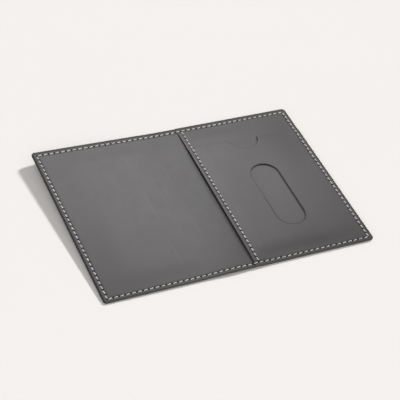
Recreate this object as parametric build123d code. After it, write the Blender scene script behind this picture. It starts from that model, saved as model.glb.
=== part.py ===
"""Bifold passport wallet, lying open: a right cover with a passport pocket and a card pocket, a soft
spine, and a plain left cover that rests a little way up from the table.

Frame: millimetres. The origin is on the surface the wallet lies on, under the middle of the spine.
+X points across the right cover, +Y to the head edge of the covers, +Z up.
"""

import os

from build123d import *

# What the wallet is cut for.
PASSPORT_WIDTH = 88.0
PASSPORT_HEIGHT = 125.0
SPINE_ALLOWANCE = 5.25  # from the middle of the spine to the spine of a passport in its pocket
HEAD_ALLOWANCE = 4.0  # from the seam to the passport, at head and foot

# Outline and seams.
SEAM_INSET = 3.25
SEAM_X = PASSPORT_WIDTH + SPINE_ALLOWANCE
SEAM_Y = PASSPORT_HEIGHT / 2 + HEAD_ALLOWANCE
HALF_WIDTH = SEAM_X + SEAM_INSET
HALF_HEIGHT = SEAM_Y + SEAM_INSET
CORNER_RADIUS = 2.5

# Leathers, from the table up, and the free space that the pockets keep when they are empty.
OUTER_THICKNESS = 0.7
INTERLINING_THICKNESS = 0.4
LINING_THICKNESS = 0.5
BACKING_THICKNESS = 0.5
FRONT_THICKNESS = 0.7
PASSPORT_SLACK = 0.4
CARD_SLACK = 0.25
LINING_BOTTOM = OUTER_THICKNESS
BACKING_BOTTOM = LINING_BOTTOM + LINING_THICKNESS
FRONT_BOTTOM = BACKING_BOTTOM + BACKING_THICKNESS
FRONT_TOP = FRONT_BOTTOM + FRONT_THICKNESS
SPINE_TOP = BACKING_BOTTOM

# The leathers step up from the flat seam allowance over a sloping shoulder.
SHOULDER_START = 1.5  # from the seam line to the foot of the shoulder
SHOULDER_RUN = 2.0
INTERLINING_SPINE_SIDE = 13.0

# Pockets.
POCKET_EDGE_X = 8.9
POCKET_SEAM_X = 12.7
SLOT_Y = 46.0
OPENINGS_X = 51.8
NOTCH_RADIUS = 10.6
WINDOW_Y = -12.0
WINDOW_LENGTH = 59.9
WINDOW_WIDTH = 20.4
CARD_SPACE_LEFT = 15.0
CARD_SPACE_MARGIN = 4.0  # from the seam line to the card space, at the right and at the foot
PAST_THE_EDGE = 6.0  # how far a space runs on past an open edge before it is trimmed to it

# Stitches. A hole falls on each corner of the seam and on each fold line.
STITCHES_PER_HALF = 23
STITCHES_PER_SIDE = 33
PITCH_X = SEAM_X / STITCHES_PER_HALF
PITCH_Y = 2 * SEAM_Y / STITCHES_PER_SIDE
STITCH_LENGTH = 2.7
THREAD_WIDTH = 0.45
THREAD_HEIGHT = 0.3
GROOVE_WIDTH = 0.6
THREAD_SEAT = 0.02  # from a stitch to the leather that it lies on
BOBBIN_CLEARANCE = 0.05  # a bobbin stitch stays this far above the table, inside its groove

# The spine folds along lines one stitch apart, on the lining's surface.
STRIP_COUNT = 4
STRIP_WIDTH = PITCH_X
FOLD_GAP = 0.2
RIGHT_FOLD_X = STRIP_COUNT * STRIP_WIDTH / 2
LEFT_FOLD_X = -RIGHT_FOLD_X
RIGHT_START = RIGHT_FOLD_X + FOLD_GAP / 2
REST_TILT = 2.0  # degrees that the left cover stands up from the table


def blank(x_low, x_high, bottom, thickness):
    """A flat sheet between two values of X, with the wallet's rounded corners."""
    outline = RectangleRounded(2 * HALF_WIDTH, 2 * HALF_HEIGHT, CORNER_RADIUS)
    band = Pos((x_low + x_high) / 2, 0) * Rectangle(x_high - x_low, 2 * HALF_HEIGHT)
    return Pos(0, 0, bottom) * extrude(outline & band, thickness)


def mound(x_low, x_high, y_low, y_high, bottom, rise):
    """The flat-topped space under a raised part of a sheet, with sloping sides."""
    centre = Pos((x_low + x_high) / 2, (y_low + y_high) / 2, bottom)
    width = x_high - x_low
    height = y_high - y_low
    foot = centre * Rectangle(width, height)
    top = centre * Pos(0, 0, rise) * Rectangle(width - 2 * SHOULDER_RUN, height - 2 * SHOULDER_RUN)
    return loft([foot, top])


def raised(flat, space, thickness):
    """A flat sheet lifted over a space, with the same thickness all over."""
    return flat + Pos(0, 0, thickness) * space - space


def interlining_mound(x_low, x_high):
    """The board between an outer leather and its lining, thinned along its four edges."""
    reach = SEAM_Y - SHOULDER_START
    return mound(x_low, x_high, -reach, reach, LINING_BOTTOM, INTERLINING_THICKNESS)


def seam_groove():
    """The groove for the bobbin thread, along the seam all round the outside."""
    outside = Rectangle(2 * SEAM_X + GROOVE_WIDTH, 2 * SEAM_Y + GROOVE_WIDTH)
    inside = Rectangle(2 * SEAM_X - GROOVE_WIDTH, 2 * SEAM_Y - GROOVE_WIDTH)
    return extrude(outside - inside, BOBBIN_CLEARANCE + THREAD_HEIGHT + THREAD_SEAT)


def outer_leather(x_low, x_high):
    return blank(x_low, x_high, 0, OUTER_THICKNESS) - seam_groove()


def lining(x_low, x_high):
    return blank(x_low, x_high, LINING_BOTTOM, LINING_THICKNESS)


def passport_space():
    """The space between the lining and the pocket backing, open towards the spine."""
    reach = SEAM_Y - SHOULDER_START
    rise = INTERLINING_THICKNESS + PASSPORT_SLACK
    low = POCKET_EDGE_X - PAST_THE_EDGE
    return mound(low, SEAM_X - SHOULDER_START, -reach, reach, BACKING_BOTTOM, rise)


def card_space():
    """The space between the pocket backing and the pocket front, open towards the head."""
    bottom = FRONT_BOTTOM + INTERLINING_THICKNESS + PASSPORT_SLACK
    high = SEAM_X - CARD_SPACE_MARGIN
    foot = CARD_SPACE_MARGIN - SEAM_Y
    return mound(CARD_SPACE_LEFT, high, foot, SLOT_Y + PAST_THE_EDGE, bottom, CARD_SLACK)


def pocket_backing():
    flat = blank(POCKET_EDGE_X, HALF_WIDTH, BACKING_BOTTOM, BACKING_THICKNESS)
    footprint = blank(POCKET_EDGE_X, HALF_WIDTH, 0, 2 * FRONT_TOP)
    return raised(flat, passport_space(), BACKING_THICKNESS) & footprint


def pocket_front():
    flat = blank(POCKET_EDGE_X, HALF_WIDTH, FRONT_BOTTOM, FRONT_THICKNESS)
    below = Pos(0, 0, BACKING_THICKNESS) * passport_space()
    sheet = raised(flat, below, FRONT_THICKNESS) + Pos(0, 0, FRONT_THICKNESS) * card_space()
    sheet -= card_space()
    footprint = blank(POCKET_EDGE_X, HALF_WIDTH, 0, 2 * FRONT_TOP)
    beyond_slot = Pos(0, SLOT_Y + HALF_HEIGHT, 0) * Rectangle(4 * HALF_WIDTH, 2 * HALF_HEIGHT)
    notch = Pos(OPENINGS_X, SLOT_Y) * Circle(NOTCH_RADIUS)
    window = Pos(OPENINGS_X, WINDOW_Y) * SlotOverall(WINDOW_LENGTH, WINDOW_WIDTH, rotation=90)
    cut = extrude(beyond_slot + notch + window, 2 * FRONT_TOP)
    return (sheet & footprint) - cut


def rim_top(x, y):
    """The height of the topmost leather's flat allowance at a stitch."""
    if x < POCKET_EDGE_X:
        return SPINE_TOP
    if y > SLOT_Y:
        return FRONT_BOTTOM
    return FRONT_TOP


def seam_stitches():
    """The middle and the direction of every stitch of the seam round the wallet."""
    found = []
    for i in range(-STITCHES_PER_HALF, STITCHES_PER_HALF):
        x = (i + 0.5) * PITCH_X
        found.append((x, SEAM_Y, 0))
        found.append((x, -SEAM_Y, 0))
    for j in range(STITCHES_PER_SIDE):
        y = (j + 0.5) * PITCH_Y - SEAM_Y
        found.append((SEAM_X, y, 90))
        found.append((-SEAM_X, y, 90))
    return found


def stitch(x, y, turn, bottom):
    return Pos(x, y, bottom) * extrude(SlotOverall(STITCH_LENGTH, THREAD_WIDTH, rotation=turn), THREAD_HEIGHT)


def top_thread(x_low, x_high):
    picked = [s for s in seam_stitches() if x_low < s[0] < x_high]
    return Compound(children=[stitch(x, y, turn, rim_top(x, y) + THREAD_SEAT) for x, y, turn in picked])


def bobbin_thread(x_low, x_high):
    picked = [s for s in seam_stitches() if x_low < s[0] < x_high]
    return Compound(children=[stitch(x, y, turn, BOBBIN_CLEARANCE) for x, y, turn in picked])


def pocket_thread(bottom):
    """The stitches along the pocket's free edge, through the front and the backing only."""
    rows = range(1, STITCHES_PER_SIDE - 1)
    middles = [(j + 0.5) * PITCH_Y - SEAM_Y for j in rows]
    return Compound(children=[stitch(POCKET_SEAM_X, y, 90, bottom(y)) for y in middles])


def pocket_seam_top(y):
    lift = INTERLINING_THICKNESS + PASSPORT_SLACK
    return rim_top(POCKET_SEAM_X, y) + lift + THREAD_SEAT


def pocket_seam_under(y):
    return BACKING_BOTTOM + INTERLINING_THICKNESS + PASSPORT_SLACK - THREAD_HEIGHT - THREAD_SEAT


def right_cover():
    board = interlining_mound(INTERLINING_SPINE_SIDE, SEAM_X - SHOULDER_START)
    return {
        "outer_leather_right": outer_leather(RIGHT_START, HALF_WIDTH),
        "interlining_right": board,
        "lining_right": raised(lining(RIGHT_START, HALF_WIDTH), board, LINING_THICKNESS),
        "pocket_backing": pocket_backing(),
        "pocket_front": pocket_front(),
        "seam_top_thread_right": top_thread(RIGHT_FOLD_X, HALF_WIDTH),
        "seam_bobbin_thread_right": bobbin_thread(RIGHT_FOLD_X, HALF_WIDTH),
        "pocket_top_thread": pocket_thread(pocket_seam_top),
        "pocket_bobbin_thread": pocket_thread(pocket_seam_under),
    }


def spine_strip(number):
    """One strip of the spine. Strip 1 is next to the right cover."""
    high = RIGHT_FOLD_X - (number - 1) * STRIP_WIDTH
    low = high - STRIP_WIDTH
    start = low + FOLD_GAP / 2
    end = high - FOLD_GAP / 2
    return {
        f"outer_leather_spine_{number}": outer_leather(start, end),
        f"lining_spine_{number}": lining(start, end),
        f"seam_top_thread_spine_{number}": top_thread(low, high),
        f"seam_bobbin_thread_spine_{number}": bobbin_thread(low, high),
    }


def left_cover():
    board = interlining_mound(SHOULDER_START - SEAM_X, -INTERLINING_SPINE_SIDE)
    flat = {
        "outer_leather_left": outer_leather(-HALF_WIDTH, -RIGHT_START),
        "interlining_left": board,
        "lining_left": raised(lining(-HALF_WIDTH, -RIGHT_START), board, LINING_THICKNESS),
        "seam_top_thread_left": top_thread(-HALF_WIDTH, LEFT_FOLD_X),
        "seam_bobbin_thread_left": bobbin_thread(-HALF_WIDTH, LEFT_FOLD_X),
    }
    tilt = Pos(LEFT_FOLD_X, 0, SPINE_TOP) * Rot(0, REST_TILT, 0) * Pos(-LEFT_FOLD_X, 0, -SPINE_TOP)
    return {name: tilt * piece for name, piece in flat.items()}


def wallet():
    pieces = right_cover()
    for number in range(1, STRIP_COUNT + 1):
        pieces |= spine_strip(number)
    return pieces | left_cover()


os.makedirs("parts", exist_ok=True)
for name, piece in wallet().items():
    export_step(piece, f"parts/{name}.step")
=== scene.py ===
"""The passport wallet's visual model: leathers, edge paint and stitches built as meshes in the CAD frame.

Lengths are in millimetres until a mesh is made. x runs from the left cover (negative) to the pocket
(positive), and y from foot to head. Every piece is first laid out with the wallet perfectly flat, and
settle() then gives it the pose that leather takes on a table.
"""

import math

import bpy
import numpy as np
from mathutils import Matrix, Vector
from mathutils.geometry import delaunay_2d_cdt


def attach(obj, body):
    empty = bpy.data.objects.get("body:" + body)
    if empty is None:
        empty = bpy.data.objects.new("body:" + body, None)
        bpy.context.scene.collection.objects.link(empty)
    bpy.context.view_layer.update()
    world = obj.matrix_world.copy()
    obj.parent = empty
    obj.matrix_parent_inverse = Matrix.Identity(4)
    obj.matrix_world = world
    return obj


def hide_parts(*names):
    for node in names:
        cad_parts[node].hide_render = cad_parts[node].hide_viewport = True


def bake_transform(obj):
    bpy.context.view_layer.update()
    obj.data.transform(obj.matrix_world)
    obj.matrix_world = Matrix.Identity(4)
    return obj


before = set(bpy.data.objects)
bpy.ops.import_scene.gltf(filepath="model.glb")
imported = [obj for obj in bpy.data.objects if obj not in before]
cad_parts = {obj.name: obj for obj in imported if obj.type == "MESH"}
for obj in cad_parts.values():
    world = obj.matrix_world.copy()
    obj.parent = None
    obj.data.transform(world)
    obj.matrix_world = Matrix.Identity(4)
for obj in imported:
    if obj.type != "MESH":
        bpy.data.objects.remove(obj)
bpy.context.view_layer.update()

# ---------------------------------------------------------------- sizes
SEAM_X, SEAM_Y, SEAM_INSET = 93.25, 66.5, 3.25  # the seam's lines, and its distance from the edge
HALF_WIDTH, HALF_HEIGHT = SEAM_X + SEAM_INSET, SEAM_Y + SEAM_INSET
CORNER_RADIUS = 2.5
LINING_BOTTOM, SPINE_TOP, FRONT_BOTTOM, FRONT_TOP = 0.6, 1.0, 1.25, 1.65  # heights between the layers
INTERLINING = 0.3
GAP = 0.01  # keeps the faces of neighbouring layers apart
FOLD_Z = 1.2  # the height of the fold axes
POCKET_EDGE_X, POCKET_SEAM_X = 8.9, 12.7
FREE_EDGE_X = 9.4  # where the pocket's free edge ends, next to the spine
SLOT_Y, OPENINGS_X, NOTCH_RADIUS = 46.0, 51.8, 10.6
WINDOW_Y, WINDOW_LENGTH, WINDOW_WIDTH = -12.0, 59.9, 20.4
# The radius of the window's ends, and half the length of its straight sides.
WINDOW_RADIUS, WINDOW_STRAIGHT = WINDOW_WIDTH / 2, (WINDOW_LENGTH - WINDOW_WIDTH) / 2
PER_HALF, PER_SIDE = 23, 33  # stitches along half the head and along a side
PITCH_X, PITCH_Y = SEAM_X / PER_HALF, 2 * SEAM_Y / PER_SIDE
POCKET_ROW = SEAM_Y - 0.9  # the pocket's own row ends just short of the seam
POCKET_PITCH = 2 * POCKET_ROW / PER_SIDE
FOLDS = [PITCH_X * k for k in (2, 1, 0, -1, -2)]
CUTS = [PITCH_X * k for k in (1.5, 0.5, -0.5, -1.5)]
REST_TILT = math.radians(2.0)
MM = 0.001


# ---------------------------------------------------------------- shape of the leathers
def smooth(t):
    """0 below 0, 1 above 1, and an S-curve between."""
    t = np.clip(t, 0.0, 1.0)
    return t * t * (3 - 2 * t)


def bell(t, width):
    """1 at 0, falling off to either side."""
    return np.exp(-(t / width) ** 2)


def inside(value, edge, run):
    """0 at the edge, 1 further in than run."""
    return smooth((edge - value) / run)


def board_rise(x, y):
    """How far the interlining lifts the lining, as a share of its thickness."""
    ax, ay = np.abs(x), np.abs(y)
    return inside(ay, SEAM_Y - 1.2, 15) * inside(ax, SEAM_X - 1.2, 24) * smooth((ax - 11.5) / 26)


def pocket_rise(x, y):
    """How far the pocket stands up inside its seams, with its free edge bowed a little open."""
    hold = inside(np.abs(y), SEAM_Y - 1.0, 15) * inside(x, SEAM_X - 1.0, 45)
    arch = np.clip(1 - (y / SEAM_Y) ** 2, 0, 1)
    mouth = 1.05 * arch ** 0.35 * np.exp(-np.clip(x - POCKET_EDGE_X, 0, None) / 16)
    return (INTERLINING + 1.5 * GAP) * board_rise(x, y) + 0.25 * hold + mouth


def card_rise(x, y):
    """How far the pocket's front stands off its back, more at the right of the slot."""
    space = inside(x, SEAM_X - 3, 38) * smooth((x - 13.6) / 8) * smooth((y + SEAM_Y - 3) / 9)
    slot_mouth = 0.45 * bell(x - OPENINGS_X - 14, 9) * bell(y - SLOT_Y - 3, 10)
    return (0.3 + slot_mouth) * space


def undulation(x, y):
    """The slow unevenness of a large piece of leather."""
    wave = np.sin(x * 0.11 + 0.6 * np.sin(y * 0.05) + 0.4) * np.sin(y * 0.083 + 1.1)
    wave += 0.7 * np.sin(x * 0.19 - y * 0.07 + 2.0) + 0.5 * np.sin(y * 0.17 + x * 0.05)
    return 0.035 * wave


# Each crease of the left lining: x, lowest y, highest y, strength.
CREASES = [(-14.0, -41, 48, 0.6), (-25.3, -36, 60, 0.8), (-36.4, -58, 56, 1.0)]


def creases(x, y, width):
    """Where the left lining has been bent, in faint lines parallel to the spine. 1 on a full line."""
    total = np.zeros_like(x)
    for at, low, high, strength in CREASES:
        line = at + 0.35 * np.sin(y * 0.09 + at) + 0.2 * np.sin(y * 0.23 - at)
        fade = smooth((y - low) / 12) * smooth((high - y) / 12) * (0.55 + 0.45 * np.sin(y * 0.13 + at))
        total += strength * fade * bell(x - line, width)
    return total


def stack_top(x, y):
    """The height of the rim's topmost surface."""
    on_pocket = x > POCKET_EDGE_X - 0.01
    pocket_top = np.where(y > SLOT_Y, FRONT_BOTTOM, FRONT_TOP)
    return np.where(on_pocket, pocket_top, SPINE_TOP)


def seam_distance(x, y):
    """The distance to the seam that runs round the wallet."""
    dx, dy = np.abs(np.abs(x) - SEAM_X), np.abs(np.abs(y) - SEAM_Y)
    beyond_x = np.clip(np.abs(x) - SEAM_X, 0, None)
    beyond_y = np.clip(np.abs(y) - SEAM_Y, 0, None)
    return np.minimum(np.hypot(dx, beyond_y), np.hypot(dy, beyond_x))


def squeeze(x, y, z):
    """The seam pulls the stack thinner, more from above than from below."""
    share = z / stack_top(x, y)
    return (0.10 - 0.28 * share) * bell(seam_distance(x, y), 1.0)


def seam_holes():
    """The needle holes of the seam round the wallet."""
    holes = [(i * PITCH_X, s * SEAM_Y) for i in range(-PER_HALF, PER_HALF + 1) for s in (-1, 1)]
    rows = range(1, PER_SIDE)
    return holes + [(s * SEAM_X, j * PITCH_Y - SEAM_Y) for j in rows for s in (-1, 1)]


def pocket_holes():
    """The needle holes along the pocket's free edge."""
    return [(POCKET_SEAM_X, j * POCKET_PITCH - POCKET_ROW) for j in range(PER_SIDE + 1)]


def dimples(x, y, holes, depth, width=0.42):
    """Small dents where the thread goes through."""
    dent = np.zeros_like(x)
    for hx, hy in holes:
        near = (np.abs(x - hx) < 2) & (np.abs(y - hy) < 2)
        dent[near] -= depth * bell(np.hypot(x[near] - hx, y[near] - hy), width)
    return dent


SEAM_HOLES, POCKET_HOLES = seam_holes(), pocket_holes()
SEAM_DENT, POCKET_DENT = 0.3, 0.25


# Each leather's two faces, as heights over its flat layout.
def lining_rest(x, y):
    """How the lining lies over the interlining."""
    return board_rise(x, y) * (INTERLINING + undulation(x, y))


def outer_bottom(x, y):
    z = np.full_like(x, 0.02)
    groove = 0.256 * bell(seam_distance(x, y), 0.55)
    return z + squeeze(x, y, z) + groove


def outer_top(x, y):
    z = np.full_like(x, LINING_BOTTOM - 1.5 * GAP)
    return z + squeeze(x, y, z)


def lining_under(x, y):
    z = np.full_like(x, LINING_BOTTOM)
    return z + lining_rest(x, y) + squeeze(x, y, z)


def lining_top(x, y):
    z = np.full_like(x, SPINE_TOP - GAP)
    dents = dimples(x, y, SEAM_HOLES, SEAM_DENT) * (x < POCKET_EDGE_X)
    return z + lining_rest(x, y) + squeeze(x, y, z) + 0.03 * creases(x, y, 0.8) + dents


def pocket_wave(x, y):
    return undulation(x, y) * inside(np.abs(y), SEAM_Y - 3, 10) * inside(x, SEAM_X - 3, 10)


def backing_under(x, y):
    z = np.full_like(x, SPINE_TOP + GAP)
    return z + pocket_rise(x, y) + pocket_wave(x, y) + squeeze(x, y, z)


def backing_top(x, y):
    z = np.full_like(x, FRONT_BOTTOM - GAP)
    dents = dimples(x, y, SEAM_HOLES, SEAM_DENT) * (y > SLOT_Y)
    dents += dimples(x, y, POCKET_HOLES, POCKET_DENT) * (y > SLOT_Y)
    return z + pocket_rise(x, y) + pocket_wave(x, y) + squeeze(x, y, z) + dents


def pocket_seam_dip(x, y):
    return -0.16 * bell(x - POCKET_SEAM_X, 1.0) * inside(np.abs(y), SEAM_Y, 3)


def front_under(x, y):
    z = np.full_like(x, FRONT_BOTTOM)
    return z + pocket_rise(x, y) + card_rise(x, y) + pocket_wave(x, y) + squeeze(x, y, z)


def front_top(x, y):
    z = np.full_like(x, FRONT_TOP)
    lift = pocket_rise(x, y) + card_rise(x, y) + pocket_wave(x, y)
    dents = dimples(x, y, SEAM_HOLES, SEAM_DENT) + dimples(x, y, POCKET_HOLES, POCKET_DENT)
    return z + lift + squeeze(x, y, z) + pocket_seam_dip(x, y) + dents


# ---------------------------------------------------------------- how the wallet lies
CORNER_A = np.array([-2.0, -4.2, 3.4])  # the left cover's head corner, lifted
CORNER_D = np.array([3.3, 0.0, -3.05])  # its foot corner, down on the table
SPINE_LIFT = 1.2  # the foot end of the spine arches off the table
SPREAD = 0.45  # the right cover's end is drawn out a little
RIM_SHARE = {"head": 1.12, "foot": 0.78, "right": 0.86, "left": 0.95}  # of the seam allowance


def allowance(value, seam, low_share, high_share):
    """Where a coordinate lies once the leather outside the seam is pressed narrower or wider."""
    beyond = np.clip(np.abs(value) - seam, 0, None)
    share = np.where(value < 0, low_share, high_share)
    return value + np.sign(value) * beyond * (share - 1)


def settle(points):
    """From the flat layout to the pose on the table: a tilted, slightly twisted left cover."""
    x = allowance(points[:, 0].astype(float), SEAM_X, RIM_SHARE["left"], RIM_SHARE["right"])
    on_right = smooth((x + 5) / 25)
    y = allowance(points[:, 1].astype(float), SEAM_Y, RIM_SHARE["foot"] - 0.14 * on_right, RIM_SHARE["head"])
    z = points[:, 2].astype(float)
    turn = REST_TILT * smooth((FOLDS[4] + PITCH_X / 2 - x) / PITCH_X)
    arm, lift = x - FOLDS[4], z - FOLD_Z
    px = np.where(turn > 0, FOLDS[4] + arm * np.cos(turn) + lift * np.sin(turn), x)
    pz = np.where(turn > 0, FOLD_Z - arm * np.sin(turn) + lift * np.cos(turn), z)
    far = np.clip((-x - 10) / (HALF_WIDTH - 10), 0, None)
    far = far * (0.55 + 0.45 * np.clip(far, 0, 1))
    back = (y + HALF_HEIGHT) / (2 * HALF_HEIGHT)
    out = np.stack([px, y, pz], axis=1)
    out += far[:, None] * (back[:, None] * CORNER_A + (1 - back)[:, None] * CORNER_D)
    out[:, 0] += SPREAD * np.clip(x / SEAM_X, 0, 1) ** 2
    out[:, 2] += SPINE_LIFT * bell(x + 4, 16) * smooth((20 - y) / 85)
    return out


# ---------------------------------------------------------------- meshes
def build(name, points, faces, material, flat_faces=(), cut_edge=None):
    """A mesh object from flat-layout points in mm. The layout is kept for the materials. flat_faces are
    the fold cuts' walls, and cut_edge is 1 on the raw edges."""
    mesh = bpy.data.meshes.new(name)
    mesh.from_pydata([tuple(p) for p in settle(points) * MM], [], faces)
    mesh.update()
    rest = mesh.attributes.new("layout", "FLOAT_VECTOR", "POINT")
    rest.data.foreach_set("vector", points.astype(np.float32).ravel())
    if cut_edge is not None:
        bent = creases(points[:, 0], points[:, 1], 0.5) * name.startswith("lining")
        for label, values in (("cut_edge", cut_edge), ("crease", bent)):
            share = mesh.attributes.new(label, "FLOAT", "POINT")
            share.data.foreach_set("value", values.astype(np.float32))
    rounded = np.ones(len(mesh.polygons), bool)
    rounded[list(flat_faces)] = False
    mesh.polygons.foreach_set("use_smooth", rounded)
    edge_of = {tuple(sorted(edge.vertices)): edge for edge in mesh.edges} if flat_faces else {}
    for k in flat_faces:
        for pair in mesh.polygons[k].edge_keys:
            edge_of[tuple(sorted(pair))].use_edge_sharp = True
    mesh.materials.append(material)
    obj = bpy.data.objects.new(name, mesh)
    bpy.context.scene.collection.objects.link(obj)
    return obj


EDGE_STEPS = 5  # points down a rounded edge, between the two faces
EDGE_SPACING, SPINE_EDGE_SPACING, WINDOW_SPACING = 1.6, 0.68, 1.3  # between points along an outline
COVER_GRID, SPINE_GRID, BACKING_GRID, FRONT_GRID, BOARD_GRID = 1.7, 0.9, 1.8, 1.6, 2.4
LINE_SPACING = 1.3  # along the finer rows at seams and creases
HOLE_CLEARANCE = 0.95  # the field keeps this far from a needle hole, whose rings take its place


def arc(cx, cy, radius, start, end, step=6.0):
    """Points and outward normals along an arc, in degrees, end point included."""
    count = max(2, int(abs(end - start) / step))
    angles = [math.radians(start + (end - start) * k / count) for k in range(count + 1)]
    return [(cx + radius * math.cos(a), cy + radius * math.sin(a), math.cos(a), math.sin(a)) for a in angles]


def run(x0, y0, x1, y1, nx, ny, stops):
    """Points along a straight side, without its ends."""
    return [(x0 + (x1 - x0) * t, y0 + (y1 - y0) * t, nx, ny) for t in stops]


def even(length, spacing):
    """Even stops along a length, as shares of it, without its ends."""
    count = max(1, round(length / spacing))
    return [k / count for k in range(1, count)]


def cut_rows(inset):
    """The values of y that every fold cut shares, so that its two sides meet point for point."""
    reach = HALF_HEIGHT - inset
    fine = [SEAM_Y + d for d in (-8, -6.5, -5, -4, -3, -2.2, -1.5, -1, -0.6, -0.3, 0, 0.3, 0.6, 1, 1.5, 2.2)]
    rows = [v for v in fine if v < reach - 0.3]
    middle = list(np.arange(-56, 56.1, 2.0))
    return sorted(set([-v for v in rows] + middle + rows))


def blank_loop(x0, x1, inset, spacing):
    """The outline between two values of x, anticlockwise. Returns vertices and, per segment, whether
    it is a fold cut. Corners at the wallet's own ends are rounded."""
    top = HALF_HEIGHT - inset
    radius = CORNER_RADIUS - inset
    verts, cut = [], []

    def add(points, is_cut):
        for p in points:
            verts.append(p)
            cut.append(is_cut)

    low_open, high_open = x0 <= -HALF_WIDTH + 0.01, x1 >= HALF_WIDTH - 0.01
    xa = x0 + inset if low_open else x0
    xb = x1 - inset if high_open else x1
    left = xa + (radius if low_open else 0)
    right = xb - (radius if high_open else 0)
    stops = even(right - left, spacing)
    add([(left, -top, 0, -1)], False)
    add(run(left, -top, right, -top, 0, -1, stops), False)
    if high_open:
        add(arc(right, -top + radius, radius, -90, 0)[:-1], False)
        add([(xb, -top + radius, 1, 0)], False)
        add(run(xb, -top + radius, xb, top - radius, 1, 0, even(2 * (top - radius), spacing)), False)
        add(arc(right, top - radius, radius, 0, 90), False)
    else:
        add([(right, -top, 0, -1)], True)
        add([(xb, y, 1, 0) for y in cut_rows(inset)], True)
        add([(right, top, 0, 1)], False)
    add(run(right, top, left, top, 0, 1, stops), False)
    if low_open:
        add(arc(left, top - radius, radius, 90, 180)[:-1], False)
        add([(xa, top - radius, -1, 0)], False)
        add(run(xa, top - radius, xa, -top + radius, -1, 0, even(2 * (top - radius), spacing)), False)
        add(arc(left, -top + radius, radius, 180, 270)[:-1], False)
    else:
        add([(left, top, 0, 1)], True)
        add([(xa, y, -1, 0) for y in reversed(cut_rows(inset))], True)
    return verts, cut


def pocket_loop(inset, y_high=None):
    """The outline of a pocket piece: a straight free edge at the spine and, if y_high is given, a
    straight head edge with the thumb notch."""
    radius = CORNER_RADIUS - inset
    x0, x1 = FREE_EDGE_X + inset, HALF_WIDTH - inset
    y0 = -HALF_HEIGHT + inset
    small = 0.5
    verts = arc(x0 + small, y0 + small, small, 180, 270, 30)
    verts += run(x0 + small, y0, x1 - radius, y0, 0, -1, even(x1 - radius - x0 - small, EDGE_SPACING))
    verts += arc(x1 - radius, y0 + radius, radius, -90, 0)
    if y_high is None:
        y1 = HALF_HEIGHT - inset
        verts += run(x1, y0 + radius, x1, y1 - radius, 1, 0, even(y1 - y0 - 2 * radius, EDGE_SPACING))
        verts += arc(x1 - radius, y1 - radius, radius, 0, 90)
        verts += run(x1 - radius, y1, x0 + small, y1, 0, 1, even(x1 - radius - x0 - small, EDGE_SPACING))
    else:
        y1 = y_high - inset
        reach = NOTCH_RADIUS + inset
        verts += run(x1, y0 + radius, x1, y1 - small, 1, 0, even(y1 - small - y0 - radius, EDGE_SPACING))
        verts += arc(x1 - small, y1 - small, small, 0, 90, 30)
        notch = [(x, y, -nx, -ny) for x, y, nx, ny in arc(OPENINGS_X, SLOT_Y, reach, -4, -176, 5)]
        start, end = notch[0][0], notch[-1][0]
        verts += run(x1 - small, y1, start, y1, 0, 1, even(x1 - small - start, EDGE_SPACING))
        lip = 0.707
        verts += [(start + 0.05, y1, -lip, lip)]
        verts += notch
        verts += [(end - 0.05, y1, lip, lip)]
        verts += run(end, y1, x0 + small, y1, 0, 1, even(end - x0 - small, EDGE_SPACING))
    verts += arc(x0 + small, y1 - small, small, 90, 180, 30)
    verts += run(x0, y1 - small, x0, y0 + small, -1, 0, even(y1 - y0 - 2 * small, EDGE_SPACING))
    return verts, [False] * len(verts)


def window_loop(inset):
    """The rounded window, clockwise, with normals into the hole."""
    half, radius = WINDOW_STRAIGHT, WINDOW_RADIUS + inset
    upper, lower = WINDOW_Y + half, WINDOW_Y - half
    left, right = OPENINGS_X - radius, OPENINGS_X + radius
    stops = even(2 * half, WINDOW_SPACING)
    verts = arc(OPENINGS_X, upper, radius, 180, 0, 5)
    verts += run(right, upper, right, lower, 1, 0, stops)
    verts += arc(OPENINGS_X, lower, radius, 0, -180, 5)
    verts += run(left, lower, left, upper, -1, 0, stops)
    return [(x, y, -nx, -ny) for x, y, nx, ny in verts], [False] * len(verts)


def in_polygon(px, py, loop):
    """Whether each point lies inside a closed polygon."""
    hit = np.zeros(len(px), bool)
    lx = np.array([v[0] for v in loop])
    ly = np.array([v[1] for v in loop])
    for i in range(len(lx)):
        x0, y0, x1, y1 = lx[i - 1], ly[i - 1], lx[i], ly[i]
        if y0 == y1:
            continue
        crosses = (y0 > py) != (y1 > py)
        hit ^= crosses & (px < (x1 - x0) * (py - y0) / (y1 - y0) + x0)
    return hit


def clearance(px, py, loop):
    """The distance from each point to the nearest vertex or side of a closed polygon."""
    best = np.full(len(px), 1e9)
    for i in range(len(loop)):
        x0, y0 = loop[i - 1][0], loop[i - 1][1]
        dx, dy = loop[i][0] - x0, loop[i][1] - y0
        t = np.clip(((px - x0) * dx + (py - y0) * dy) / max(dx * dx + dy * dy, 1e-12), 0, 1)
        best = np.minimum(best, np.hypot(px - x0 - t * dx, py - y0 - t * dy))
    return best


def line_rows(low, high):
    """Staggered rows of points close to a line: pairs of distances from the line and stops along it."""
    across = (-2.2, -1.5, -0.9, -0.45, 0, 0.45, 0.9, 1.5, 2.2)
    stops = np.arange(low, high, LINE_SPACING)
    return [(d, stops + (k % 2) * LINE_SPACING / 2) for k, d in enumerate(across)]


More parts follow.
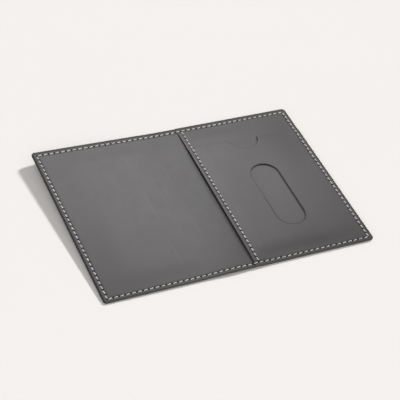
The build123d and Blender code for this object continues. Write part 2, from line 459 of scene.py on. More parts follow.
def field(x0, x1, y0, y1, spacing, holes, lines_x=(), lines_y=()):
    """Points inside a leather: a staggered grid, finer rows along seams and creases, and rings round
    the stitch holes."""
    rows = np.arange(y0, y1, spacing)
    gx, gy = np.meshgrid(np.arange(x0, x1, spacing), rows)
    gx = gx + (np.arange(len(rows))[:, None] % 2) * spacing / 2
    found = [np.stack([gx.ravel(), gy.ravel()], axis=1)]
    for line in lines_x:
        found += [np.stack([np.full_like(ys, line + d), ys], axis=1) for d, ys in line_rows(y0, y1)]
    for line in lines_y:
        found += [np.stack([xs, np.full_like(xs, line + d)], axis=1) for d, xs in line_rows(x0, x1)]
    points = np.concatenate(found)
    if not holes:
        return points
    near = np.zeros(len(points), bool)
    for hx, hy in holes:
        near |= np.hypot(points[:, 0] - hx, points[:, 1] - hy) < HOLE_CLEARANCE
    centre = np.array(holes)
    rings = [centre]
    for radius, count in ((0.25, 6), (0.5, 8), (0.82, 10)):
        for k in range(count):
            a = 2 * math.pi * (k + 0.5 * (count % 4)) / count
            rings.append(centre + radius * np.array([math.cos(a), math.sin(a)]))
    return np.concatenate([points[~near]] + rings)


def triangulate(loops, points):
    """Triangles over a leather's outline less its openings, all facing up. loops holds the outline and
    then the openings, and points are tried as inner vertices. Returns the vertices and triangles."""
    outer, openings = loops[0][0], [verts for verts, _ in loops[1:]]

    def within(px, py):
        found = in_polygon(px, py, outer)
        for verts in openings:
            found &= ~in_polygon(px, py, verts)
        return found

    keep = within(points[:, 0], points[:, 1])
    for verts, _ in loops:
        keep &= clearance(points[:, 0], points[:, 1], verts) > 0.3
    flat = np.concatenate([np.array([v[:2] for v in verts]) for verts, _ in loops] + [points[keep]])
    edges, first = [], 0
    for verts, _ in loops:
        edges += [(first + k, first + (k + 1) % len(verts)) for k in range(len(verts))]
        first += len(verts)
    _, _, tris, origin, _, _ = delaunay_2d_cdt([Vector(p) for p in flat], edges, [], 1, 1e-6, True)
    tris = np.array([[origin[k][0] for k in t] for t in tris])
    mid = flat[tris].mean(axis=1)
    tris = tris[within(mid[:, 0], mid[:, 1])]
    a, b, c = (flat[tris[:, k]] for k in range(3))
    turn = (b[:, 0] - a[:, 0]) * (c[:, 1] - a[:, 1]) - (b[:, 1] - a[:, 1]) * (c[:, 0] - a[:, 0])
    tris[turn < 0] = tris[turn < 0][:, ::-1]
    return flat, tris


def leather(name, material, loops, points, top, under, bulge):
    """A closed sheet: two faces from height functions, rounded cut edges round every loop, and flat
    walls where a loop is a fold cut. On the outline the dark raw edge starts lower than on an opening."""
    flat, tris = triangulate(loops, points)
    x, y = flat[:, 0], flat[:, 1]
    high, low = top(x, y), under(x, y)
    count = len(flat)
    coords = [np.stack([x, y, high], axis=1), np.stack([x, y, low], axis=1)]
    faces = [tuple(t) for t in tris] + [tuple(t[::-1] + count) for t in tris]
    total, first = 2 * count, 0
    walls, shades = [], [0.0] * total
    for loop, (verts, cut) in enumerate(loops):
        number = len(verts)
        top_shade = 0.0 if loop == 0 else 1.0
        rounded = [not (cut[k] and cut[k - 1]) for k in range(number)]
        columns = []
        for k, (vx, vy, nx, ny) in enumerate(verts):
            i = first + k
            column = [i]
            if rounded[k]:
                middle, half = (high[i] + low[i]) / 2, (high[i] - low[i]) / 2
                for step in range(1, EDGE_STEPS + 1):
                    angle = math.pi / 2 - math.pi * step / (EDGE_STEPS + 1)
                    reach, height = bulge * math.cos(angle) ** 0.8, middle + half * math.sin(angle)
                    coords.append(np.array([[vx + nx * reach, vy + ny * reach, height]]))
                    shades.append(top_shade if step <= 2 else 1.0)
                    column.append(total)
                    total += 1
            column.append(i + count)
            columns.append(column)
        for k in range(number):
            here, after = columns[k], columns[(k + 1) % number]
            if cut[k]:
                walls.append(len(faces))
                faces.append((here[0], here[-1], after[-1], after[0]))
            else:
                for step in range(EDGE_STEPS + 1):
                    faces.append((here[step], here[step + 1], after[step + 1], after[step]))
            if rounded[k] and cut[k]:
                walls.append(len(faces))
                faces.append(tuple(here))
            if rounded[k] and cut[k - 1]:
                walls.append(len(faces))
                faces.append(tuple(reversed(here)))
        first += number
    return build(name, np.concatenate(coords), faces, material, walls, np.array(shades))


def tube_faces(rings, sides):
    """The faces of a closed tube whose points lie in rings."""
    faces = []
    for k in range(rings - 1):
        for side in range(sides):
            a, b = k * sides + side, k * sides + (side + 1) % sides
            faces.append((a, b, b + sides, a + sides))
    last = (rings - 1) * sides
    faces.append(tuple(reversed(range(sides))))
    faces.append(tuple(last + side for side in range(sides)))
    return faces


def join(parts):
    """Several (points, faces) as one."""
    points, faces, first = [], [], 0
    for part_points, part_faces in parts:
        points.append(part_points)
        faces += [tuple(i + first for i in face) for face in part_faces]
        first += len(part_points)
    return np.concatenate(points), faces


def strand(path, radii, sides):
    """A round tube along points, closed at both ends. Returns its points and faces."""
    tangent = np.gradient(path, axis=0)
    tangent /= np.linalg.norm(tangent, axis=1)[:, None]
    side = np.cross(tangent, np.array([0.0, 0.0, 1.0]))
    side /= np.maximum(np.linalg.norm(side, axis=1)[:, None], 1e-9)
    normal = np.cross(side, tangent)
    angles = (np.arange(sides) * 2 * math.pi / sides)[None, :, None]
    ring = side[:, None, :] * np.cos(angles) + normal[:, None, :] * np.sin(angles)
    points = (path[:, None, :] + radii[:, None, None] * ring).reshape(-1, 3)
    return points, tube_faces(len(path), sides)


PLY_RADIUS, PLY_OFFSET, PLY_TWIST = 0.20, 0.15, 1.9  # the twist is the length of one turn
PLY_SIDES, STITCH_STEPS = 6, 19
STITCH_RISE = 0.20
STITCH_DIP = {1: -0.45, -1: -0.10}  # how deep its ends go, on top and underneath
SLANT = math.radians(10)


def stitch(x, y, along, surface, side):
    """One stitch from hole to hole, two plies twisted together. along is 0 for a stitch in x and 1 for
    one in y. side is 1 on top and -1 underneath."""
    pitch = PITCH_X if along == 0 else PITCH_Y
    s = np.linspace(-0.435, 0.435, STITCH_STEPS) * pitch
    plunge = smooth((np.abs(s) - 0.25 * pitch) / (0.13 * pitch))
    arch = STITCH_RISE * (1 - (2 * s / pitch) ** 2 * 0.35)
    height = arch * (1 - plunge) + STITCH_DIP[side] * plunge
    ux, uy = (1.0, 0.0) if along == 0 else (0.0, 1.0)
    drift = np.tan(SLANT) * s * (1 - plunge) * side
    sx, sy = x + ux * s - uy * drift, y + uy * s + ux * drift
    base = surface(sx, sy)
    spread = PLY_OFFSET * (1 - 0.6 * plunge)
    plies = []
    for start in (0, math.pi):
        turn = 2 * math.pi * s / PLY_TWIST + start
        shift, lift = spread * np.cos(turn), spread * np.sin(turn)
        path = np.stack([sx - uy * shift, sy + ux * shift, base + side * (height + lift)], axis=1)
        plies.append(strand(path, PLY_RADIUS * (1 - 0.5 * plunge), PLY_SIDES))
    return join(plies)


def threads(name, stitches, surface, side):
    """A row of stitches as one piece."""
    points, faces = join(stitch(x, y, along, surface, side) for x, y, along in stitches)
    return build(name, points, faces, THREAD)


def seam_stitches(x_low, x_high):
    """The seam's stitches between two values of x, as (x, y, along)."""
    found = []
    for i in range(-PER_HALF, PER_HALF):
        found += [((i + 0.5) * PITCH_X, s * SEAM_Y, 0) for s in (1, -1)]
    for j in range(PER_SIDE):
        found += [(s * SEAM_X, (j + 0.5) * PITCH_Y - SEAM_Y, 1) for s in (1, -1)]
    return [s for s in found if x_low < s[0] < x_high]


def seam_surface(x, y):
    """The smooth surface that the seam's top stitches lie on, without the dimples."""
    z = stack_top(x, y)
    on_pocket = pocket_rise(x, y) + card_rise(x, y) * (y < SLOT_Y)
    rise = np.where(x > POCKET_EDGE_X, on_pocket, lining_rest(x, y))
    return z + rise + squeeze(x, y, z)


def under_surface(x, y):
    """Where the bobbin stitches lie, in the groove of the outer leather."""
    return np.full_like(x, 0.50)


def pocket_surface(x, y):
    """What the top stitches along the pocket's free edge lie on."""
    z = np.where(y > SLOT_Y, FRONT_BOTTOM, FRONT_TOP)
    lift = pocket_rise(x, y) + pocket_wave(x, y) + card_rise(x, y) * (y < SLOT_Y)
    return z + lift + pocket_seam_dip(x, y) * (y < SLOT_Y)


# ---------------------------------------------------------------- edge paint
# The paint's section: distances out from the outline, and heights as shares of the stack's.
PAINT_SECTION = [(-0.34, 1.0), (-0.16, 0.985), (0.0, 0.9), (0.10, 0.7), (0.13, 0.45), (0.11, 0.2),
                 (0.0, 0.03), (-0.16, -0.03), (-0.34, -0.02), (-0.42, 0.5)]
PAINT_BOTTOM = 0.06


def bead(route):
    """Paint over the raw edges of the stack: a rounded strip along the outline. route is a list of
    (x, y, nx, ny)."""
    x, y, nx, ny = np.array(route).T
    high = rim_top(x, y)
    rings = [np.stack([x + nx * out, y + ny * out, PAINT_BOTTOM + (high - PAINT_BOTTOM) * share], axis=1)
             for out, share in PAINT_SECTION]
    points = np.stack(rings, axis=1).reshape(-1, 3)
    return points, tube_faces(len(route), len(PAINT_SECTION))


def rim_top(x, y):
    """The rim's top at the outline, stepping up smoothly where the pocket begins."""
    step = smooth((x - POCKET_EDGE_X + 0.1) / 0.5)
    pocket_top = FRONT_BOTTOM + (FRONT_TOP - FRONT_BOTTOM) * smooth((SLOT_Y + 0.1 - y) / 0.5)
    return SPINE_TOP + (pocket_top - SPINE_TOP) * step - 0.02


def outline_route(x0, x1, sign):
    """Part of the wallet's outline as a route: the head side if sign is 1, the foot side if -1, or the
    whole end of a cover where x0 or x1 is the wallet's end."""
    corner, end = CORNER_RADIUS, HALF_WIDTH
    high = HALF_HEIGHT - corner
    if x1 >= end - 0.01:
        step_up = [POCKET_EDGE_X + d for d in (-0.15, 0, 0.15, 0.3, 0.5)]
        xs = [x for x in np.arange(x0, end - corner, 0.8) if all(abs(x - e) > 0.1 for e in step_up)]
        xs = sorted(set(xs + step_up))
        return ([(x, -HALF_HEIGHT, 0, -1) for x in xs]
                + arc(end - corner, -high, corner, -90, 0)
                + [(end, y, 1, 0) for y in np.arange(-high + 1, high, 1.0)]
                + arc(end - corner, high, corner, 0, 90)
                + [(x, HALF_HEIGHT, 0, 1) for x in reversed(xs)])
    if x0 <= -end + 0.01:
        xs = list(np.arange(x1, -end + corner, -0.8))
        return ([(x, HALF_HEIGHT, 0, 1) for x in xs]
                + arc(-end + corner, high, corner, 90, 180)
                + [(-end, y, -1, 0) for y in np.arange(high - 1, -high, -1.0)]
                + arc(-end + corner, -high, corner, 180, 270)
                + [(x, -HALF_HEIGHT, 0, -1) for x in reversed(xs)])
    count = 6
    xs = [x0 + (x1 - x0) * k / count for k in range(count + 1)]
    if sign > 0:
        return [(x, HALF_HEIGHT, 0, 1) for x in reversed(xs)]
    return [(x, -HALF_HEIGHT, 0, -1) for x in xs]


# ---------------------------------------------------------------- materials
class Nodes:
    """Short calls for building a node tree."""

    def __init__(self, name):
        self.material = bpy.data.materials.new(name)
        self.material.use_nodes = True
        self.tree = self.material.node_tree
        self.tree.nodes.clear()
        self.out = self.add("ShaderNodeOutputMaterial")
        self.shader = self.add("ShaderNodeBsdfPrincipled")
        self.link(self.shader, "BSDF", self.out, "Surface")

    def add(self, kind, **settings):
        node = self.tree.nodes.new(kind)
        for key, value in settings.items():
            setattr(node, key, value)
        return node

    def link(self, source, output, target, socket):
        self.tree.links.new(source.outputs[output], target.inputs[socket])

    def feed(self, target, socket, value):
        """A number, a colour or another node's output goes into a socket."""
        if isinstance(value, tuple) and hasattr(value[0], "outputs"):
            self.link(value[0], value[1], target, socket)
        else:
            target.inputs[socket].default_value = value

    def math(self, operation, a, b=0.0, c=0.0):
        node = self.add("ShaderNodeMath", operation=operation)
        for socket, value in enumerate((a, b, c)):
            self.feed(node, socket, value)
        return (node, 0)

    def length(self, a, b):
        squares = self.math("ADD", self.math("MULTIPLY", a, a), self.math("MULTIPLY", b, b))
        return self.math("SQRT", squares)

    def ramp(self, value, low, high, to_low=0.0, to_high=1.0):
        """A smooth step from one value to another as the input goes from low to high."""
        node = self.add("ShaderNodeMapRange", interpolation_type="SMOOTHSTEP")
        self.feed(node, "Value", value)
        for socket, number in (("From Min", low), ("From Max", high),
                               ("To Min", to_low), ("To Max", to_high)):
            node.inputs[socket].default_value = number
        return (node, "Result")

    def noise(self, vector, scale, detail=2.0, roughness=0.5):
        node = self.add("ShaderNodeTexNoise")
        self.feed(node, "Vector", vector)
        for socket, number in (("Scale", scale), ("Detail", detail), ("Roughness", roughness)):
            node.inputs[socket].default_value = number
        return (node, "Fac")

    def cells(self, vector, scale):
        """The distance to the nearest border between cells."""
        node = self.add("ShaderNodeTexVoronoi", feature="DISTANCE_TO_EDGE")
        self.feed(node, "Vector", vector)
        node.inputs["Scale"].default_value = scale
        return (node, "Distance")

    def mix(self, share, a, b):
        node = self.add("ShaderNodeMix", data_type="RGBA")
        self.feed(node, 0, share)
        self.feed(node, 6, a)
        self.feed(node, 7, b)
        return (node, 2)

    def bump(self, height, distance, strength):
        """Relief from a height, with its depth in metres."""
        node = self.add("ShaderNodeBump")
        self.feed(node, "Height", height)
        node.inputs["Distance"].default_value = distance
        node.inputs["Strength"].default_value = strength
        return (node, "Normal")

    def attribute(self, name, output="Fac"):
        """A value that build() stored on the mesh."""
        return (self.add("ShaderNodeAttribute", attribute_name=name, attribute_type="GEOMETRY"), output)

    def layout(self):
        """The piece's own coordinates in mm, which move with it."""
        return self.attribute("layout", "Vector")

    def split(self, vector):
        node = self.add("ShaderNodeSeparateXYZ")
        self.feed(node, 0, vector)
        return (node, 0), (node, 1), (node, 2)


def grey(value, warm=0.0):
    """A neutral colour, or one that leans towards brown."""
    return (value * (1 + warm), value, value * (1 - warm), 1.0)


LEATHER_TONE, LEATHER_ROUGHNESS = 0.070, 0.42


def dye(value):
    """The leathers' charcoal, a trace towards plum."""
    return (value * 1.04, value * 0.97, value * 0.995, 1.0)


def hole_distance(n, x, y):
    """The distance in mm from the nearest needle hole of the seam or of the pocket's own seam."""
    def off_hole(value, pitch):
        steps = n.math("DIVIDE", value, pitch)
        return n.math("MULTIPLY", n.math("SUBTRACT", steps, n.math("ROUND", steps)), pitch)

    along_x = off_hole(x, PITCH_X)
    along_y = off_hole(n.math("ADD", y, SEAM_Y), PITCH_Y)
    rows = n.length(along_x, n.math("SUBTRACT", n.math("ABSOLUTE", y), SEAM_Y))
    ends = n.length(along_y, n.math("SUBTRACT", n.math("ABSOLUTE", x), SEAM_X))
    along_row = off_hole(n.math("ADD", y, POCKET_ROW), POCKET_PITCH)
    pocket = n.length(along_row, n.math("SUBTRACT", x, POCKET_SEAM_X))
    beyond_x = n.math("MULTIPLY", n.math("GREATER_THAN", n.math("ABSOLUTE", x), SEAM_X + 0.6), 9.0)
    beyond_y = n.math("MULTIPLY", n.math("GREATER_THAN", n.math("ABSOLUTE", y), SEAM_Y + 0.6), 9.0)
    rows = n.math("ADD", rows, beyond_x)
    ends = n.math("MINIMUM", n.math("ADD", ends, beyond_y), n.math("ADD", pocket, beyond_y))
    return n.math("MINIMUM", rows, ends)


def burnish_and_wall_shade(n, x, y):
    """How dark the border of the window and of the thumb notch is: round the window a thin burnished line
    that fades out towards its top, and on the right of both a wider band of painted shade, where the wall on
    that side casts shadow."""
    aside = n.math("SUBTRACT", x, OPENINGS_X)
    to_right = n.ramp(aside, -4.0, 5.0)

    def line(past, radius):
        off = n.length(aside, n.math("MAXIMUM", past, 0.0))
        # Painted shade beside the right-hand wall.
        wall_shade = n.math("MULTIPLY", n.ramp(off, radius + 0.55, radius + 1.05, 0.9, 0.0), to_right)
        return wall_shade, n.ramp(off, radius + 0.35, radius + 0.75, 0.75, 0.0)

    from_centre = n.math("ABSOLUTE", n.math("SUBTRACT", y, WINDOW_Y))
    wall_shade, thin = line(n.math("SUBTRACT", from_centre, WINDOW_STRAIGHT), WINDOW_RADIUS)
    below = n.ramp(y, WINDOW_Y - 24.0, WINDOW_Y + 8.0, 1.0, 0.0)
    window = n.math("MAXIMUM", wall_shade, n.math("MULTIPLY", thin, below))
    wall_shade, thin = line(n.math("SUBTRACT", SLOT_Y, y), NOTCH_RADIUS)
    return n.math("MAXIMUM", window, n.math("MULTIPLY", wall_shade, n.ramp(y, SLOT_Y - 12.0, SLOT_Y - 3.0)))


def painted_sheen_and_shade(n, x, y, colour, tone, pocket):
    """Painted light: painted shade towards head and foot; on the pocket also a painted sheen, lighter round
    a spot at its right, and on the other leathers painted shade in the fold.
    """
    # Painted shade, darker towards head and foot.
    shaded_head_and_foot = n.ramp(n.math("ABSOLUTE", n.math("ADD", y, 2.0)), 36.0, 66.0, 0.0, 0.30 if pocket else 0.16)
    colour = n.mix(shaded_head_and_foot, colour, dye(tone * 0.45))
    if not pocket:
        # Painted shade in the fold.
        fold_shade = n.ramp(n.math("ABSOLUTE", n.math("SUBTRACT", x, 2.0)), 5.0, 26.0, 0.28, 0.0)
        return n.mix(fold_shade, colour, dye(tone * 0.3))
    # Painted sheen: lighter round a spot on the pocket's right.
    aside, along = n.math("SUBTRACT", x, 69.0), n.math("MULTIPLY", n.math("ADD", y, 8.0), 0.7)
    off = n.length(aside, along)
    return n.mix(n.ramp(off, 8.0, 40.0, 0.40, 0.0), colour, dye(tone * 1.55))


def leather_material(name, seed, with_openings=False, pocket=False):
    """Smooth dyed leather: cloudy dye, fine pores and grain, painted sheen and shade, and a darker stitched
    border.
    """
    tone = LEATHER_TONE
    n = Nodes(name)
    at = n.layout()
    shift = n.add("ShaderNodeVectorMath", operation="ADD")
    n.feed(shift, 0, at)
    shift.inputs[1].default_value = (seed * 37.0, seed * 11.0, seed * 5.0)
    where = (shift, 0)
    cloud = n.noise(where, 0.018, 2.0, 0.5)
    mottle = n.noise(where, 0.16, 3.0, 0.5)
    speck = n.noise(where, 2.6, 2.0, 0.6)
    dark, light = dye(tone * 0.93), dye(tone * 1.07)
    mixed = n.math("MULTIPLY_ADD", cloud, 0.75, n.math("MULTIPLY", mottle, 0.13))
    mixed = n.math("MULTIPLY_ADD", speck, 0.12, mixed)
    colour = n.mix(n.ramp(mixed, 0.30, 0.70), dark, light)

    pores = n.ramp(n.cells(where, 1.9), 0.0, 0.16)
    fine = n.noise(where, 5.5, 3.0, 0.6)
    fibre = n.noise(where, 1.1, 3.0, 0.55)
    height = n.math("MULTIPLY_ADD", pores, 0.5, n.math("MULTIPLY", fine, 0.5))
    height = n.math("MULTIPLY_ADD", fibre, 0.8, height)
    normal = n.bump(height, 0.00003, 0.6)
    colour = n.mix(n.ramp(pores, 0.0, 1.0, 0.12, 0.0), colour, dye(tone * 0.5))
    x, y, _ = n.split(at)
    # Painted sheen and shade.
    colour = painted_sheen_and_shade(n, x, y, colour, tone, pocket)
    hole = hole_distance(n, x, y)
    # Painted shade in and round the needle holes.
    colour = n.mix(n.ramp(hole, 0.75, 1.25, 0.92, 0.0), colour, dye(tone * 0.12))
    dx = n.math("SUBTRACT", n.math("ABSOLUTE", x), SEAM_X)
    dy = n.math("SUBTRACT", n.math("ABSOLUTE", y), SEAM_Y)
    # The border outside the seam is darker, and darker still towards the head and the left.
    darker_border = n.ramp(n.math("MAXIMUM", dx, dy), 0.9, 2.2, 0.0, 0.45)
    darker_border = n.math("MULTIPLY", darker_border, n.ramp(n.math("SUBTRACT", y, x), -40.0, 20.0, 1.0, 1.6))
    colour = n.mix(darker_border, colour, grey(tone * 0.55, 0.05))
    # Painted shade: the leather darkens in the last millimetre at the covers' ends.
    shaded_ends = n.ramp(n.math("ABSOLUTE", x), HALF_WIDTH - 1.2, HALF_WIDTH - 0.7, 0.0, 0.8)
    colour = n.mix(shaded_ends, colour, dye(tone * 0.15))
    colour = n.mix(n.math("MULTIPLY", n.attribute("crease"), 0.22), colour, dye(tone * 2.2))
    if with_openings:
        # Burnished line and painted shade of the openings.
        colour = n.mix(burnish_and_wall_shade(n, x, y), colour, dye(tone * 0.12))
    cut_edge = n.attribute("cut_edge")
    colour = n.mix(n.math("MULTIPLY", cut_edge, 0.96), colour, dye(tone * 0.10))
    n.feed(n.shader, "Base Color", colour)
    gloss = n.math("MULTIPLY_ADD", mottle, 0.06, n.math("MULTIPLY", cloud, 0.06))
    gloss = n.math("MULTIPLY_ADD", darker_border, 0.3, gloss)
    n.feed(n.shader, "Roughness", n.math("ADD", gloss, LEATHER_ROUGHNESS - 0.06))
    n.feed(n.shader, "Normal", normal)
    n.shader.inputs["IOR"].default_value = 1.45
    n.shader.inputs["Specular IOR Level"].default_value = 0.5
    return n.material


def paint_material(name):
    """Edge paint, rubbed smooth, with slight unevenness along it."""
    n = Nodes(name)
    at = n.layout()
    tone, warm = LEATHER_TONE, 0.05
    uneven = n.noise(at, 0.7, 3.0, 0.6)
    colour = n.mix(n.ramp(uneven, 0.3, 0.7), grey(tone * 0.8, warm), grey(tone * 1.2, warm))
    x, y, _ = n.split(at)
    # Painted shade: the paint darkens at the covers' ends. It is also darker along the head.
    shaded_ends = n.ramp(n.math("ABSOLUTE", x), HALF_WIDTH - 0.75, HALF_WIDTH - 0.3, 0.0, 0.9)
    at_the_head = n.ramp(y, SEAM_Y - 3.0, SEAM_Y, 0.0, 0.65)
    colour = n.mix(n.math("MAXIMUM", shaded_ends, at_the_head), colour, grey(tone * 0.2, warm))
    n.feed(n.shader, "Base Color", colour)
    n.shader.inputs["Specular IOR Level"].default_value = 0.3
    n.feed(n.shader, "Roughness", n.math("MULTIPLY_ADD", uneven, 0.2, 0.36))
    n.feed(n.shader, "Normal", n.bump(n.noise(at, 2.2, 2.0), 0.00004, 0.5))
    return n.material


def thread_material(name):
    """Waxed thread: cream fibres that run along the twist."""
    n = Nodes(name)
    at = n.layout()
    fibre = n.noise(at, 9.0, 3.0, 0.7)
    stain = n.noise(at, 0.35, 2.0)
    colour = n.mix(n.ramp(fibre, 0.3, 0.7), (0.74, 0.72, 0.68, 1), (0.93, 0.91, 0.88, 1))
    colour = n.mix(n.ramp(stain, 0.35, 0.75, 0.0, 0.35), colour, (0.36, 0.33, 0.29, 1))
    x, y, _ = n.split(at)
    # Painted shade where the thread goes into its hole.
    colour = n.mix(n.ramp(hole_distance(n, x, y), 0.65, 1.0, 0.93, 0.0), colour, (0.05, 0.05, 0.05, 1))
    n.feed(n.shader, "Base Color", colour)
    n.shader.inputs["Roughness"].default_value = 0.55
    n.shader.inputs["Sheen Weight"].default_value = 0.2
    n.feed(n.shader, "Normal", n.bump(fibre, 0.00006, 0.6))
    return n.material


def board_material(name):
    """Bonded leather fibre board."""
    n = Nodes(name)
    at = n.layout()
    fleck = n.noise(at, 1.5, 5.0, 0.7)
    colour = n.mix(n.ramp(fleck, 0.3, 0.7), (0.30, 0.21, 0.14, 1), (0.52, 0.40, 0.29, 1))
    n.feed(n.shader, "Base Color", colour)
    n.shader.inputs["Roughness"].default_value = 0.85
    n.feed(n.shader, "Normal", n.bump(fleck, 0.00008, 0.5))
    return n.material


def floor_material(name):
    """A plain, pale studio sweep with the slightest unevenness."""
    n = Nodes(name)
    coordinates = n.add("ShaderNodeTexCoord")
    tint = n.noise((coordinates, "Object"), 3.0, 2.0)
    colour = n.mix(n.ramp(tint, 0.3, 0.7), (0.806, 0.782, 0.766, 1), (0.812, 0.788, 0.772, 1))
    n.feed(n.shader, "Base Color", colour)
    n.shader.inputs["Roughness"].default_value = 0.9
    n.shader.inputs["Specular IOR Level"].default_value = 0.1
    return n.material


OUTER = leather_material("outer leather", seed=1)
LINING = leather_material("lining leather", seed=2)
BACKING = leather_material("pocket backing leather", seed=3, pocket=True)
FRONT = leather_material("pocket front leather", seed=4, with_openings=True, pocket=True)
PAINT = paint_material("edge paint")
THREAD = thread_material("waxed thread")
BOARD = board_material("fibre board")


# ---------------------------------------------------------------- pieces
BOUNDS = [HALF_WIDTH] + CUTS + [-HALF_WIDTH]
SPANS = list(zip(BOUNDS[1:], BOUNDS[:-1]))  # the five lengths of leather, each across one fold
SPAN_NAMES = ["right", "spine_1", "spine_2", "spine_3", "left"]
STANDS_FOR = [["right"], ["spine_1"], ["spine_2", "spine_3"], ["spine_4"], ["left"]]
EDGE_BULGE = 0.16  # how far a cut edge is rounded outwards
COVER_SPANS = (0, 4)


def bend(obj):
    """Piece k crosses fold k. Its placement is baked into its mesh."""
    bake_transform(obj)


def continuous(layer, material, top, under, with_creases):
    """A leather that runs through from one cover to the other, in five pieces, one across each fold."""
    for k, (x0, x1) in enumerate(SPANS):
        on_cover = k in COVER_SPANS
        loops = [blank_loop(x0, x1, EDGE_BULGE, EDGE_SPACING if on_cover else SPINE_EDGE_SPACING)]
        spacing = COVER_GRID if on_cover else SPINE_GRID
        lines_x = [s * SEAM_X for s in (-1, 1)]
        if with_creases:
            lines_x += [at for at, _, _, _ in CREASES]
        holes = [h for h in SEAM_HOLES if x0 + 0.9 < h[0] < x1 - 0.9]
        points = field(x0, x1, -HALF_HEIGHT, HALF_HEIGHT, spacing, holes, lines_x, (-SEAM_Y, SEAM_Y))
        obj = leather(f"{layer}_{SPAN_NAMES[k]}", material, loops, points, top, under, EDGE_BULGE)
        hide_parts(*[f"{layer}_{part}" for part in STANDS_FOR[k]])
        bend(obj)


BOARD_START_X, BOARD_INSET = 11.6, 1.3  # where the interlining starts, and its distance from the seam

continuous("outer_leather", OUTER, outer_top, outer_bottom, False)
continuous("lining", LINING, lining_top, lining_under, True)

for side, sign in (("right", 1), ("left", -1)):
    reach_y = SEAM_Y - BOARD_INSET
    x0, x1 = sorted((sign * BOARD_START_X, sign * (SEAM_X - BOARD_INSET)))
    ring = [(x0, -reach_y), (x1, -reach_y), (x1, reach_y), (x0, reach_y)]
    sides = []
    for k in range(4):
        (ax, ay), (bx, by) = ring[k], ring[(k + 1) % 4]
        length = math.hypot(bx - ax, by - ay)
        nx, ny = (by - ay) / length, (ax - bx) / length
        sides += [(ax, ay, nx, ny)] + run(ax, ay, bx, by, nx, ny, even(length, 3))
    points = field(x0, x1, -reach_y, reach_y, BOARD_GRID, [])
    obj = leather(f"interlining_{side}", BOARD, [(sides, [False] * len(sides))], points,
                  lambda x, y: lining_under(x, y) - 2 * GAP,
                  lambda x, y: np.full_like(x, LINING_BOTTOM - 0.5 * GAP), 0.01)
    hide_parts(f"interlining_{side}")
    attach(obj, f"{side}_cover")

pocket_lines = (SEAM_X, POCKET_SEAM_X, POCKET_EDGE_X)
all_holes = [hole for hole in SEAM_HOLES + POCKET_HOLES if hole[0] > POCKET_EDGE_X + 1]
head_holes = [hole for hole in all_holes if hole[1] > SLOT_Y]
front_holes = [hole for hole in all_holes if hole[1] < SLOT_Y - 1.2]
points = field(POCKET_EDGE_X, HALF_WIDTH, -HALF_HEIGHT, HALF_HEIGHT, BACKING_GRID,
               head_holes, pocket_lines, (-SEAM_Y, SEAM_Y))
backing = leather("pocket_backing", BACKING, [pocket_loop(EDGE_BULGE)], points,
                  backing_top, backing_under, EDGE_BULGE)
points = field(POCKET_EDGE_X, HALF_WIDTH, -HALF_HEIGHT, SLOT_Y, FRONT_GRID,
               front_holes, pocket_lines, (-SEAM_Y,))
front = leather("pocket_front", FRONT, [pocket_loop(EDGE_BULGE, SLOT_Y), window_loop(EDGE_BULGE)], points,
                front_top, front_under, EDGE_BULGE)
window_area = WINDOW_WIDTH * (WINDOW_LENGTH - WINDOW_WIDTH) + math.pi * WINDOW_WIDTH ** 2 / 4
notch_area = math.pi * NOTCH_RADIUS ** 2 / 2
for obj, node, height, openings in ((backing, "pocket_backing", 2 * HALF_HEIGHT, 0.0),
                                    (front, "pocket_front", HALF_HEIGHT + SLOT_Y, window_area + notch_area)):
    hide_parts(node)
    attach(obj, "right_cover")

for k, (x0, x1) in enumerate(SPANS):
    signs = (0,) if k in COVER_SPANS else (1, -1)
    points, faces = join(bead(outline_route(x0, x1, sign)) for sign in signs)
    obj = build(f"edge_paint_{SPAN_NAMES[k]}", points, faces, PAINT)
    bend(obj)

STRIPS = [("right", "right_cover", FOLDS[0], HALF_WIDTH)]
STRIPS += [(f"spine_{k + 1}", f"spine_strip_{k + 1}", FOLDS[k + 1], FOLDS[k]) for k in range(4)]
STRIPS += [("left", "left_cover", -HALF_WIDTH, FOLDS[4])]
for part, body, low, high in STRIPS:
    for kind, surface, side in (("top", seam_surface, 1), ("bobbin", under_surface, -1)):
        node = f"seam_{kind}_thread_{part}"
        obj = threads(node, seam_stitches(low, high), surface, side)
        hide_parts(node)
        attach(obj, body)
pocket_row = [(POCKET_SEAM_X, (j + 0.5) * POCKET_PITCH - POCKET_ROW, 1) for j in range(PER_SIDE)]
for kind, surface, side in (("top", pocket_surface, 1), ("bobbin", backing_under, -1)):
    obj = threads(f"pocket_{kind}_thread", pocket_row, surface, side)
    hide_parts(f"pocket_{kind}_thread")
    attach(obj, "right_cover")

# ---------------------------------------------------------------- floor, light and camera
scene = bpy.context.scene
scene.view_settings.view_transform = "Standard"
scene.view_settings.look = "None"

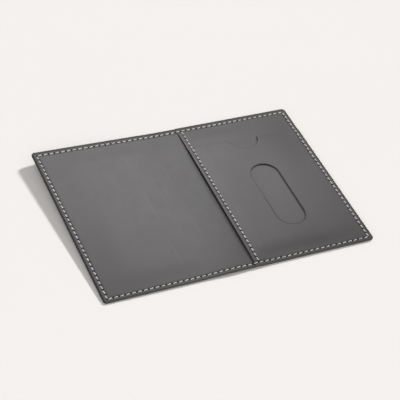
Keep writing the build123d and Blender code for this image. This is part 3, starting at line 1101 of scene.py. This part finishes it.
FLOOR_REACH = 6.0  # metres
floor_mesh = bpy.data.meshes.new("floor")
corners = [(x * FLOOR_REACH, y * FLOOR_REACH, 0) for x, y in ((-1, -1), (1, -1), (1, 1), (-1, 1))]
floor_mesh.from_pydata(corners, [], [(0, 1, 2, 3)])
floor_mesh.materials.append(floor_material("pale sweep"))
floor = bpy.data.objects.new("floor", floor_mesh)
scene.collection.objects.link(floor)

world = bpy.data.worlds.new("studio")
world.use_nodes = True
background = world.node_tree.nodes["Background"]
background.inputs["Color"].default_value = (1.0, 0.985, 0.97, 1)
background.inputs["Strength"].default_value = 0.36
scene.world = world


def lamp(name, kind, at, power, glossy=True, diffuse=True):
    """A lamp at, or in the direction of, a point in metres, aimed at the wallet."""
    data = bpy.data.lights.new(name, kind)
    data.energy = power
    obj = bpy.data.objects.new(name, data)
    obj.location = at
    obj.rotation_euler = Vector(at).to_track_quat("Z", "Y").to_euler()
    obj.visible_glossy = glossy
    obj.visible_diffuse = diffuse
    scene.collection.objects.link(obj)
    return data


key = lamp("key", "SUN", (1.159, 0.60, 0.749), 3.5, glossy=False)
key.angle = math.radians(7)
fill = lamp("fill", "SUN", (-0.5, -0.6, 0.6), 1.12, glossy=False)
fill.angle = math.radians(70)
sheen = lamp("sheen", "AREA", (0.225, 0.505, 0.523), 1.55, diffuse=False)
sheen.size = 0.2

# The camera's place in metres, and its axes.
CAMERA_AT = (-0.27355, -0.48981, 0.53279)
CAMERA_RIGHT = (0.91536, -0.38608, 0.11428)
CAMERA_UP = (0.19395, 0.67152, 0.71515)
CAMERA_BACK = (-0.35285, -0.63246, 0.68956)
camera_data = bpy.data.cameras.new("camera")
camera_data.lens = 103.5
camera_data.sensor_width = 36
camera_data.clip_start = 0.01
camera = bpy.data.objects.new("camera", camera_data)
axes = Matrix([CAMERA_RIGHT, CAMERA_UP, CAMERA_BACK]).transposed().to_4x4()
camera.matrix_world = Matrix.Translation(CAMERA_AT) @ axes
scene.collection.objects.link(camera)
scene.camera = camera
